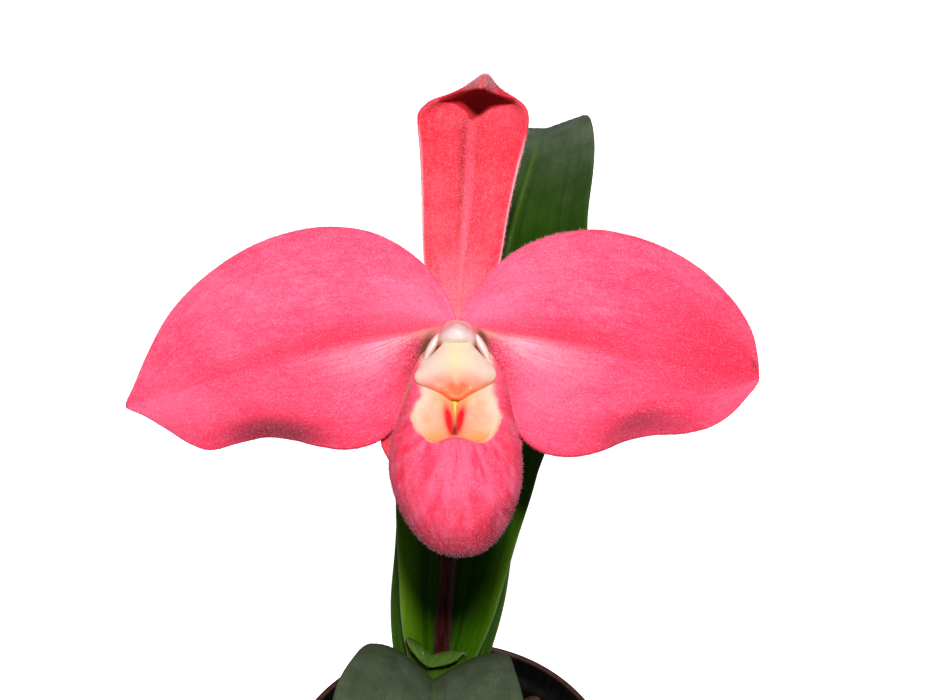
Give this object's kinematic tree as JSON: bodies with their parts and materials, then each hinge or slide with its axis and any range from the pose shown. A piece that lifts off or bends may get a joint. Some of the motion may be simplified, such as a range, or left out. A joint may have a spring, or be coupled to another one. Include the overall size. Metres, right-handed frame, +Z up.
{
  "type": "phragmipedium orchid",
  "caption": "Slipper orchid in flower in a small nursery pot: a broad pink bloom with a pouch on a slim stem above strap leaves.",
  "frame": {"origin": "centre of the pot's flat underside, on the surface it stands on", "axes": "+Z up along the pot's axis; the flower faces -Y, tipped 42 degrees up; +X is to the right as seen from the flower's front"},
  "size_m": [0.0929, 0.1511, 0.2174],
  "materials": {
    "pot_plastic": "satin",
    "potting_mix": "matte",
    "bark": "matte",
    "crown_tissue": "satin",
    "leaf_dark": "satin",
    "leaf_young": "satin",
    "stem_purple": "matte",
    "ovary_skin": "matte",
    "petal_velvet": "matte",
    "sepal_velvet": "matte",
    "lip_skin": "matte",
    "column_wax": "gloss",
    "shield_wax": "satin",
    "anther_wax": "gloss"
  },
  "bodies": {
    "root": {"pot": "pot_plastic", "potting_mix": "potting_mix", "rhizome": "crown_tissue", "bark_chip_01": "bark", "bark_chip_02": "bark", "bark_chip_03": "bark", "bark_chip_04": "bark", "bark_chip_05": "bark", "bark_chip_06": "bark", "bark_chip_07": "bark", "bark_chip_08": "bark", "bark_chip_09": "bark", "bark_chip_10": "bark", "bark_chip_11": "bark", "leaf_back_tall": "leaf_dark", "leaf_back_outer": "leaf_dark", "leaf_front_arching": "leaf_dark", "leaf_inner_young": "leaf_young", "flower_stem": "stem_purple", "floral_bract": "leaf_young", "ovary": "ovary_skin", "dorsal_sepal": "sepal_velvet", "synsepal": "sepal_velvet", "petal_left": "petal_velvet", "petal_right": "petal_velvet", "lip": "lip_skin", "column": "column_wax", "staminode": "shield_wax", "anther_left": "anther_wax", "anther_right": "anther_wax"}
  },
  "joints": []
}
